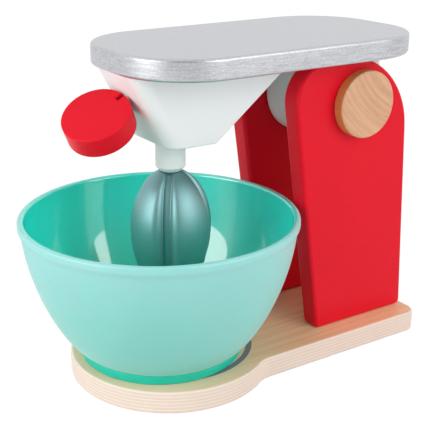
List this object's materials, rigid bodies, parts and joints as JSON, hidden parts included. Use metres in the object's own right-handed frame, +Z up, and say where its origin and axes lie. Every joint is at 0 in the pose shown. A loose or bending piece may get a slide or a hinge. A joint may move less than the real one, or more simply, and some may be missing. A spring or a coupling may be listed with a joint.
{
  "type": "toy stand mixer",
  "caption": "Wooden toy stand mixer with a tilting head, a turn knob geared to a grooved whisk, a two-panel column on a round-fronted base, and a loose bowl.",
  "frame": {"origin": "on the underside of the base, straight below the whisk's axis", "axes": "+X from the bowl back to the column, +Y to the far side as seen with the bowl at the left, +Z up"},
  "size_m": [0.2292, 0.15, 0.1805],
  "materials": {
    "plywood_base": "clear-lacquered plywood",
    "red_paint": "satin red paint on plywood",
    "beech": "clear-lacquered beech",
    "silver_paint": "silver metallic paint on wood",
    "white_paint": "satin white paint on wood",
    "silver_whisk": "glossy silver metallic paint on wood",
    "teal_bowl": "moulded, satin outside and glossy inside",
    "steel": "bright drawn steel",
    "nylon": "natural moulded nylon"
  },
  "bodies": {
    "frame": {"base_board": "plywood_base", "column_panel_near": "red_paint", "column_panel_far": "red_paint", "panel_screws": "steel", "panel_dowels": "beech", "hinge_axle": "beech", "hinge_cap_near": "beech", "hinge_cap_far": "beech", "hinge_washers": "nylon"},
    "bowl": {"bowl": "teal_bowl"},
    "head": {"top_plate": "silver_paint", "head_block": "white_paint", "hinge_block": "white_paint", "head_dowels": "beech", "hinge_dowels": "beech", "whisk_collar": "white_paint", "whisk_washer": "nylon", "knob_washer": "nylon"},
    "whisk": {"whisk": "silver_whisk", "whisk_spindle": "steel", "whisk_gear": "nylon"},
    "knob": {"turn_knob": "red_paint", "knob_spindle": "steel", "knob_gear": "nylon"}
  },
  "joints": [
    {"name": "head_tilt", "type": "hinge", "parent": "frame", "child": "head", "pos_m": [0.1015, 0, 0.1437], "axis": [0, 1, 0], "range_deg": [0, 48]},
    {"name": "whisk_spin", "type": "hinge", "parent": "head", "child": "whisk", "pos_m": [0, 0, 0.09], "axis": [0, 0, 1], "continuous": true},
    {"name": "knob_turn", "type": "hinge", "parent": "head", "child": "knob", "pos_m": [-0.02458, 0, 0.1538], "axis": [-0.8836, 0, -0.4683], "continuous": true},
    {"name": "bowl_lift", "type": "slide", "parent": "frame", "child": "bowl", "axis": [-0.1497, 0, 0.9887], "range_m": [0, 0.02]}
  ],
  "couplings": [
    {"joint": "knob_turn", "follows": "whisk_spin", "ratio": 1}
  ]
}
